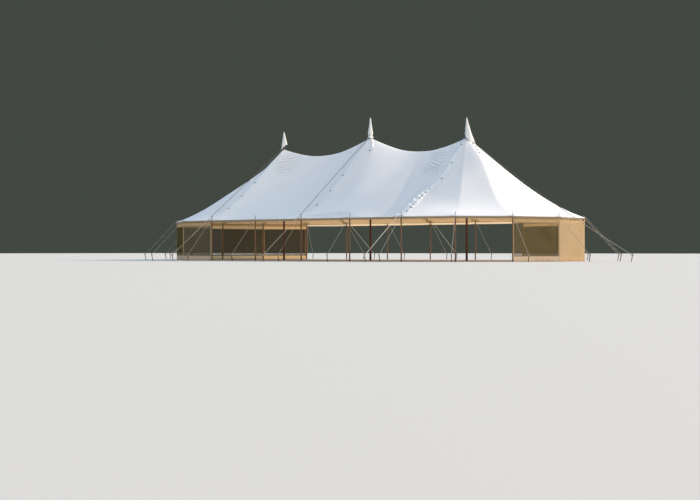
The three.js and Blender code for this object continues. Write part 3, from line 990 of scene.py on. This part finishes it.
def cap(side):
    """A spun cone drawn out to its long side, with soft folds and a rolled hem."""
    toward, short, long = CAP_SHAPES[side]
    tip = king_feet[side] + Vector((0, 0, CAP_TIP_Z[side]))
    bm = bmesh.new()
    rows = range(CAP_ROWS + ROLL_ROWS + 1)
    turned(bm, [(0, 0)] + [(1, row) for row in rows], Vector((0, 0, 0)), steps=CAP_STEPS)
    bm.verts.index_update()
    edge_layer = bm.verts.layers.float.new("edge_gap")
    spot_of = {}
    for v in bm.verts:
        turn = math.atan2(v.co.y, v.co.x)
        row, on_axis = v.co.z, math.hypot(v.co.x, v.co.y) < 0.5
        share = min(row / CAP_ROWS, 1)
        weight = ((1 + math.cos(turn - math.radians(toward))) / 2) ** 1.4
        drop, reach = smooth_between(short, share).lerp(smooth_between(long, share), weight)
        folds = 0.10 * math.sin(5 * turn + 1.0) + 0.06 * math.sin(8 * turn + 2.5 + 3 * share)
        rolled = max(row - CAP_ROWS, 0) * ROLL_TURN
        out = 0 if on_axis else reach * (1 + folds * share) + ROLL_RADIUS * (1 - math.cos(rolled))
        height = -drop - ROLL_RADIUS * math.sin(rolled)
        v.co = tip + Vector((out * math.cos(turn), out * math.sin(turn), height))
        gore = turn / math.tau * CAP_GORES
        to_seam = abs(gore - round(gore)) * math.tau / CAP_GORES * out
        v[edge_layer] = min(to_seam, (1 - share) * drop + 0.004) + 0.006
        spot_of[v.index] = (turn, 1.5 - drop)
    face_outwards(bm)
    if sum(face.normal.dot(face.calc_center_median() - tip) for face in bm.faces) < 0:
        bmesh.ops.reverse_faces(bm, faces=bm.faces[:])

    def spots(face, v):
        turn, up = spot_of[v.index]
        first = spot_of[face.verts[0].index][0]
        near = turn - math.tau * round((turn - first) / math.tau)
        return 0.5 / CLOTHS_PER_BAY + near * 0.02, up

    lay_out_cloth(bm, spots)
    return bm


# The caps' canvas, and the caps
cap_canvas = canvas("cap_canvas", BAY, (0.88, 0.875, 0.84, 1), (0.80, 0.79, 0.74, 1),
                    (0.78, 0.77, 0.70, 1), WHITE, WHITE_GLOW, SEAM_GLOW, 0.30)

for side in KINGS:
    cover = make_piece(f"pole_cap_{side}_canvas", cap(side), [cap_canvas])
    give_wall(cover, CAP_CLOTH, inner_material=0)
    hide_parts(f"pole_cap_{side}")

# A canvas strap hangs out from under the middle cap, down the front slope
STRAP_WIDTH = 0.09
STRAP_LINE = ((0.06, -0.05), (0.357, -0.267), (0.48, -0.44), (0.605, -0.660))
bm, (edge_layer,), corners = grid(6, 40, "edge_gap")
spot_of = {}
for v, across, share in corners:
    aside = (across - 0.5) * STRAP_WIDTH
    spot = smooth_between(STRAP_LINE, share)
    ahead = (smooth_between(STRAP_LINE, min(share + 0.02, 1))
             - smooth_between(STRAP_LINE, max(share - 0.02, 0))).normalized()
    x, y = spot + Vector((-ahead.y, ahead.x)) * aside
    spot_of[v.index] = (0.5 / CLOTHS_PER_BAY + aside / BAY, 1.5 - share)
    twist = 0.03 * (1 - 2 * aside / STRAP_WIDTH)
    v.co = (x, y, roof_z(x, y) + 0.016 + twist + 0.006 * math.sin(9 * share))
    v[edge_layer] = STRAP_WIDTH / 2 - abs(aside) + 0.012
lay_out_cloth(bm, lambda face, v: spot_of[v.index])
face_outwards(bm)
strap = make_piece("cap_strap_middle", bm, [cap_canvas])
give_wall(strap, CAP_CLOTH, inner_material=0)


# Guy ropes
# Three-strand hemp rope. Each side guy has a spliced eye over its pole's pin and is hitched
# round a driven stake; the main ropes come down from the king poles and cross the eave.
LAY_PITCH = 3.6
STRAND_SIDES = 9
LAYS_PER_LENGTH = 5
GUY_RADIUS = 0.009
MAIN_RADIUS = 0.014
GUY_EYE_Z = 2.257
TIE_Z = 0.300
GUY_STAKE_OUT = 1.860
MAIN_STAKE_OUT = 3.014
END_STAKE_OUT = 9.100
STAKE_TOP = 0.380
STAKE_RADIUS = 0.020
STAKE_LEAN = 0.2
MAIN_ABOVE_PEAK = 0.110
END_ROPE_ABOVE_PEAK = 0.005
END_ROPE_SAG = 0.200
OVER_PIN = PIN_TOP + MAIN_RADIUS


def weld(bm):
    """Joins the lengths of rope and closes the ends."""
    bmesh.ops.remove_doubles(bm, verts=bm.verts[:], dist=1e-5)
    bmesh.ops.holes_fill(bm, edges=[edge for edge in bm.edges if edge.is_boundary], sides=12)
    face_outwards(bm)


def strands(radius):
    """One short length of three-strand rope: a three-lobed ring, turned as it is drawn up."""
    bm = bmesh.new()
    ring = bmesh.ops.create_circle(bm, segments=STRAND_SIDES, radius=radius)["verts"]
    for v in ring[::3]:
        v.co *= 0.8
    rise = LAY_PITCH * 2 * radius / STRAND_SIDES
    bmesh.ops.spin(bm, geom=ring + bm.edges[:], cent=(0, 0, 0), axis=(0, 0, 1),
                   dvec=(0, 0, rise), angle=math.tau * LAYS_PER_LENGTH,
                   steps=STRAND_SIDES * LAYS_PER_LENGTH, use_merge=False, use_duplicate=False)
    return mesh_of(f"strands_{radius}", bm)


laid_lengths = {radius: strands(radius) for radius in (GUY_RADIUS, MAIN_RADIUS)}
RINGS = ((GUY_RADIUS, PIN_RADIUS), (GUY_RADIUS, STAKE_RADIUS), (MAIN_RADIUS, PIN_RADIUS),
         (MAIN_RADIUS, STAKE_RADIUS), (MAIN_RADIUS, KING_RADIUS))
rope_rings = {ring: rope_ring(*ring) for ring in RINGS}


def lay_rope(bm, start, end, radius):
    """A straight rope, made of short lengths joined end to end."""
    run = end - start
    length = LAY_PITCH * 2 * radius * LAYS_PER_LENGTH
    count = max(1, round(run.length / length))
    stretch = run.length / (count * length)
    aim = Matrix.Translation(start) @ run.to_track_quat("Z", "Y").to_matrix().to_4x4()
    for i in range(count):
        rise = Matrix.Translation((0, 0, i * length * stretch))
        place_copy(bm, laid_lengths[radius],
                   aim @ rise @ Matrix.Diagonal((1, 1, stretch, 1)))


def wrap(bm, centre, across, radius, tilt=0.0, toward=Vector((1, 0, 0))):
    """One turn round a post, tilted where it is seized to a rope."""
    lean = Matrix.Rotation(tilt, 4, Vector((-toward.y, toward.x, 0)))
    place_copy(bm, rope_rings[(radius, across)], Matrix.Translation(centre) @ lean)


stake_wood = wood("stake_ash", (0.075, 0.045, 0.026, 1), (0.22, 0.15, 0.09, 1), 90.0)


def stake(name, foot, out, direction):
    """A driven stake, leaning away from the tent, its head broomed by the mallet."""
    axis_foot = foot + direction * (out - STAKE_LEAN * TIE_Z)
    bm = bmesh.new()
    turned(bm, [(0, 0), (STAKE_RADIUS * 0.94, 0), (STAKE_RADIUS, 0.02),
                (STAKE_RADIUS, STAKE_TOP - 0.035), (STAKE_RADIUS * 1.22, STAKE_TOP - 0.012),
                (STAKE_RADIUS * 1.1, STAKE_TOP - 0.002), (0, STAKE_TOP)],
           Vector((0, 0, 0)), steps=12)
    face_outwards(bm)
    for v in bm.verts:
        v.co += direction * STAKE_LEAN * v.co.z
    bmesh.ops.translate(bm, verts=bm.verts[:], vec=axis_foot)
    made = make_piece(name, bm, [stake_wood])
    keep_sharp(made)
    return made


def hitch(bm, foot, out, direction, radius):
    """Three turns of rope round a stake where the rope meets it."""
    for turn in range(3):
        height = TIE_Z + (turn - 1) * 2.02 * radius
        centre = foot + direction * (out - STAKE_LEAN * (TIE_Z - height))
        centre.z = height
        wrap(bm, centre, STAKE_RADIUS, radius)


for place, foot in pole_feet.items():
    direction = outwards(place)
    row = place.split("_")[0]
    king = next((k for k, spot in king_feet.items() if abs(spot.x - foot.x) < 0.01), None)
    has_main = row in ("front", "rear") and king is not None
    bm = bmesh.new()
    at_pin = foot + Vector((0, 0, GUY_EYE_Z))
    at_stake = foot + direction * GUY_STAKE_OUT + Vector((0, 0, TIE_Z))
    down = (at_stake - at_pin).normalized()
    wrap(bm, at_pin, PIN_RADIUS, GUY_RADIUS, tilt=0.5, toward=direction)
    lay_rope(bm, at_pin + down * (PIN_RADIUS + GUY_RADIUS), at_stake, GUY_RADIUS)
    hitch(bm, foot, GUY_STAKE_OUT, direction, GUY_RADIUS)
    if has_main:
        crossing = foot + Vector((0, 0, OVER_PIN))
        head = king_feet[king] + Vector((0, 0, PEAK_Z[king] + MAIN_ABOVE_PEAK))
        away = (crossing - head).normalized()
        lay_rope(bm, head + away * KING_RADIUS, crossing, MAIN_RADIUS)
        tie = foot + direction * MAIN_STAKE_OUT + Vector((0, 0, TIE_Z))
        lay_rope(bm, crossing, tie, MAIN_RADIUS)
        wrap(bm, crossing - Vector((0, 0, 0.035)), PIN_RADIUS, MAIN_RADIUS, tilt=0.25,
             toward=direction)
        wrap(bm, crossing - Vector((0, 0, 0.012)), PIN_RADIUS, MAIN_RADIUS, tilt=-0.25,
             toward=direction)
        wrap(bm, head, KING_RADIUS, MAIN_RADIUS)
        hitch(bm, foot, MAIN_STAKE_OUT, direction, MAIN_RADIUS)
        stake(f"main_stake_{place}", foot, MAIN_STAKE_OUT, direction)
    weld(bm)
    label = f"main_and_side_guy_{place}" if has_main else f"side_guy_{place}"
    guy = make_piece(f"{label}_laid", bm, [pale_fibre if king == "right" else rope_fibre])
    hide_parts(label)
    stake(f"side_stake_{place}", foot, GUY_STAKE_OUT, direction)

for side, sign in (("left", -1), ("right", 1)):
    bm = bmesh.new()
    foot = king_feet[side]
    direction = Vector((sign, 0, 0))
    collar = foot + Vector((0, 0, PEAK_Z[side] + END_ROPE_ABOVE_PEAK))
    tied = collar + direction * (KING_RADIUS + MAIN_RADIUS)
    run = foot + direction * END_STAKE_OUT + Vector((0, 0, TIE_Z)) - tied
    lay_rope(bm, tied, tied + run, MAIN_RADIUS)
    for v in bm.verts:
        share = (v.co - tied).dot(run) / run.length_squared
        v.co.z -= 4 * END_ROPE_SAG * share * (1 - share)
    hitch(bm, foot, END_STAKE_OUT, direction, MAIN_RADIUS)
    wrap(bm, collar, KING_RADIUS, MAIN_RADIUS)
    weld(bm)
    guy = make_piece(f"end_main_guy_{side}_laid", bm, [rope_fibre])
    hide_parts(f"end_main_guy_{side}")
    stake(f"end_main_stake_{side}", foot, END_STAKE_OUT, direction)


# Walls
# Natural canvas curtains round both ends, hung outside the side poles. Each bay has a clear
# window with a bound edge over a white skirt, except one plain bay that hangs in soft folds.
WALL_OUT = 0.0483
WALL_TOP = 2.1447
WINDOW_LOW, WINDOW_HIGH = 0.27, 1.83
WINDOW_SIDE = 0.095
END_STILE = {"left": 0.12, "right": 0.045}
WALL_CLOTH = 0.003
STILE_COLUMNS = 4
WINDOW_COLUMNS = 48
SKIRT_ROWS = 7
WINDOW_ROWS = 22
HEADER_ROWS = 8
BINDING = 0.025
FOLD_PITCH = 0.21
FOLD_DEPTH = 0.009
SCALLOPS = 6
SCALLOP_DROP = 0.17
SCALLOP_FROM = 1.4
SKIRT_PITCH = 0.34


def window_sides(side, bay, bays):
    """The width of cloth beside a bay's window, which differs at the free ends of the curtain."""
    free = END_STILE[side]
    return (free if bay == 0 else WINDOW_SIDE, free if bay == bays - 1 else WINDOW_SIDE)


def wall_stops(length, sides):
    """Shares of a bay at which the wall's upright grid lines stand."""
    start, end = (side / length for side in sides)
    stops = [start * i / STILE_COLUMNS for i in range(STILE_COLUMNS)]
    stops += [start + (1 - start - end) * i / WINDOW_COLUMNS for i in range(WINDOW_COLUMNS)]
    return stops + [1 - end + end * i / STILE_COLUMNS for i in range(STILE_COLUMNS)]


def wall_levels():
    skirt = WINDOW_LOW - BINDING
    levels = [skirt * i / SKIRT_ROWS for i in range(SKIRT_ROWS + 1)]
    rise = WINDOW_HIGH - WINDOW_LOW
    levels += [WINDOW_LOW + rise * i / WINDOW_ROWS for i in range(WINDOW_ROWS)]
    levels.append(WINDOW_HIGH)
    head = WALL_TOP - WINDOW_HIGH - BINDING
    return levels + [WINDOW_HIGH + BINDING + head * i / HEADER_ROWS for i in range(HEADER_ROWS + 1)]


def wall_sheet(side, places, plain_bays):
    """The curtain of one end: a grid along the side poles, with the windows cut out of it."""
    bays = len(places) - 1
    bay_length = (pole_feet[places[0]] - pole_feet[places[1]]).length
    sides = [window_sides(side, bay, bays) for bay in range(bays)]
    alongs = [bay + stop for bay in range(bays) for stop in wall_stops(bay_length, sides[bay])]
    alongs.append(bays)
    levels = wall_levels()
    bm, _, corners = grid(len(alongs) - 1, len(levels) - 1)
    spot_of = {}
    for v, across, up in corners:
        along = alongs[round(across * (len(alongs) - 1))]
        z = levels[round(up * (len(levels) - 1))]
        bay = min(int(along), bays - 1)
        share = along - bay
        metres = along * bay_length
        if bay in plain_bays:
            drift = 1.3 * noise.noise(Vector((metres, 0, 7)))
            folds = math.sin(math.tau * metres / FOLD_PITCH + drift)
            swell = FOLD_DEPTH * folds * (0.55 + 0.45 * (1 - z / WALL_TOP))
            scallops = abs(math.sin(math.pi * share * SCALLOPS)) ** 0.8
            high = max(0, (z - SCALLOP_FROM) / (WALL_TOP - SCALLOP_FROM))
            z -= SCALLOP_DROP * scallops * high ** 2
        else:
            ripple = noise.noise(Vector((metres * 2.6, z * 1.5, 2)))
            wave = math.sin(math.tau * metres / SKIRT_PITCH) if z < WINDOW_LOW else 0
            swell = 0.005 * ripple + 0.004 * wave
        spot = plan_point(places, along, WALL_OUT + swell * math.sin(math.pi * share) ** 0.4)
        v.co = (spot.x, spot.y, z)
        spot_of[v.index] = (along, z)
    bm.verts.index_update()
    lay_out_cloth(bm, lambda face, v: spot_of[v.index])
    glazed = []
    for face in bm.faces:
        spots = [spot_of[v.index] for v in face.verts]
        along = sum(spot[0] for spot in spots) / 4
        z = sum(spot[1] for spot in spots) / 4
        if int(along) in plain_bays:
            continue
        face.material_index = 1 if z < WINDOW_LOW else 0
        from_start, from_end = along % 1 * bay_length, (1 - along % 1) * bay_length
        start, end = sides[int(along)]
        beside = min(from_start - start, from_end - end)
        over = min(z - WINDOW_LOW, WINDOW_HIGH - z)
        if beside > 0 and over > 0:
            glazed.append(face)
        elif min(beside, over) > -BINDING:
            face.material_index = 2
    bmesh.ops.delete(bm, geom=glazed, context="FACES")
    return bm


def wall_material(name, fresh, soiled, mud):
    """Proofed cotton with splashes of mud above the ground."""
    material, tree, shader = blank(name, 0.92, Sheen_Weight=0.1)
    place = place_of(tree)
    stains = use(tree, weather, [("Vector", place), ("Size", 1.8)]).outputs
    base = tint(tree, remap(tree, stains["Streak"], 0.4, 0.7, 0.0, 0.7), fresh, soiled)
    splash = maths(tree, "MULTIPLY_ADD", stains["Stain"], 0.32, -0.06)
    above = maths(tree, "SUBTRACT", splash, height_of(tree, place))
    muddy = remap(tree, above, -0.03, 0.10, 0.0, 0.6)
    feed(tree, shader, [("Base Color", tint(tree, muddy, base, mud))])
    uv = node(tree, "ShaderNodeUVMap", uv_map="cloth").outputs["UV"]
    weave = use(tree, plain_weave, [("Vector", uv), ("Threads", 1400.0)])
    relief(tree, shader, weave.outputs["Height"], 0.0003)
    glow = node(tree, "ShaderNodeBsdfTranslucent", [("Color", (0.97, 0.78, 0.53, 1))])
    surface(tree, shader.outputs["BSDF"], glow.outputs[0], share=0.7)
    return material


MUD = (0.34, 0.26, 0.16, 1)
wall_cloths = [
    wall_material("natural_wall_canvas", (0.70, 0.60, 0.385, 1), (0.57, 0.48, 0.30, 1), MUD),
    wall_material("white_skirt_canvas", (0.92, 0.88, 0.76, 1), (0.80, 0.75, 0.63, 1), MUD),
    wall_material("window_binding", (0.56, 0.44, 0.27, 1), (0.44, 0.33, 0.20, 1),
                  (0.28, 0.20, 0.125, 1)),
]
wall_runs = {"left": (round_the_end("left")[:7], ()), "right": (round_the_end("right")[2:], (1,))}

for side, (places, plain_bays) in wall_runs.items():
    cut = wall_sheet(side, places, plain_bays)
    curtain = make_piece(f"wall_canvas_{side}", cut, wall_cloths)
    give_wall(curtain, WALL_CLOTH, outwards_share=0.0, inner_material=0)
    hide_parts(f"wall_{side}")
    [f"side_pole_{place}" for place in places]


# Window films
# Clear flexible sheet sewn behind the window openings, slightly smoky with age and buckled
# between its seams.
FILM_OUT = 0.041
FILM = 0.001
FILM_LOW, FILM_HIGH = 0.22, 1.88
FILM_COLUMNS, FILM_ROWS = 18, 14
FILM_BUCKLE = 0.0012


def clear_film(name):
    """Smoky sheet that shines where it is seen from in front, and is dull at a slant."""
    material, tree, shader = blank(name, 0.2)
    place = place_of(tree)
    slant = node(tree, "ShaderNodeLayerWeight", [("Blend", 0.5)]).outputs["Facing"]
    haze = cloudy(tree, place, 2.1, 4.0, distortion=0.4)
    smoky = tint(tree, haze, (0.068, 0.046, 0.011, 1), (0.18, 0.124, 0.033, 1))
    feed(tree, shader, [("Base Color", smoky),
                        ("Specular IOR Level", remap(tree, slant, 0.25, 0.75, 0.3, 0.0)),
                        ("Alpha", remap(tree, haze, 0.3, 0.7, 0.40, 0.56))])
    relief(tree, shader, cloudy(tree, place, 5.0, 1.0), 0.02, 0.4)
    return material


film = clear_film("clear_film")
for side, (places, plain_bays) in wall_runs.items():
    bays = len(places) - 1
    bm, _, corners = grid(bays * FILM_COLUMNS, FILM_ROWS)
    for v, across, up in corners:
        along = across * bays
        z = FILM_LOW + (FILM_HIGH - FILM_LOW) * up
        buckle = FILM_BUCKLE * noise.noise(Vector((along * 7, z * 3, 1)))
        spot = plan_point(places, along, FILM_OUT + buckle)
        v.co = (spot.x, spot.y, z)
    sheet = make_piece(f"window_film_{side}", bm, [film])
    give_wall(sheet, FILM, inner_material=0)
    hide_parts(f"wall_windows_{side}")


# Camera, floor and light
# The view is level, from low down off the front right corner. The floor is plain and pale, and
# a broad soft light stands to the right and a little behind, as the sun does.
camera_data = bpy.data.cameras.new("camera")
camera_data.lens = 63.22
camera_data.sensor_width = 36
camera_data.clip_end = 500
camera = add_object("camera", camera_data)
camera.location = (38.75, -54.96, 0.49)
camera.rotation_euler = (math.radians(90.062), 0, math.radians(36.14))
bpy.context.scene.camera = camera

FLOOR_SIZE = 400
bm = bmesh.new()
bmesh.ops.create_grid(bm, x_segments=8, y_segments=8, size=FLOOR_SIZE / 2)
floor_mesh = mesh_of("studio_floor", bm)
floor_material, _, floor_shader = blank("studio_floor", 0.9)
floor_shader.inputs["Base Color"].default_value = (0.50, 0.48, 0.43, 1)
floor_mesh.materials.append(floor_material)
add_object("studio_floor", floor_mesh)

world = bpy.data.worlds.new("studio")
world.use_nodes = True
air = world.node_tree
sky = air.nodes["Background"]
sky.inputs["Color"].default_value = (0.46, 0.655, 0.905, 1)
sky.inputs["Strength"].default_value = 1.0
backdrop = node(air, "ShaderNodeBackground", [("Color", (0.055, 0.066, 0.054, 1))])
seen = node(air, "ShaderNodeLightPath").outputs["Is Camera Ray"]
either = node(air, "ShaderNodeMixShader",
              [(0, seen), (1, sky.outputs[0]), (2, backdrop.outputs[0])])
air.links.new(either.outputs[0], air.nodes["World Output"].inputs["Surface"])
bpy.context.scene.world = world

# A low sun, and the broad glow of the sky round it
LIGHTS = (
    ("key", 5.2, 9, (1.0, 0.83, 0.70), (0.52, 0.74, 0.45)),
    ("glow", 1.38, 80, (1.0, 0.82, 0.58), (0.84, -0.25, 0.48)),
)
for label, energy, spread, colour, toward_light in LIGHTS:
    lamp_data = bpy.data.lights.new(label, "SUN")
    lamp_data.energy = energy
    lamp_data.angle = math.radians(spread)
    lamp_data.color = colour
    lamp = add_object(label, lamp_data)
    lamp.rotation_euler = Vector(toward_light).to_track_quat("Z", "Y").to_euler()

bpy.context.scene.view_settings.view_transform = "Standard"
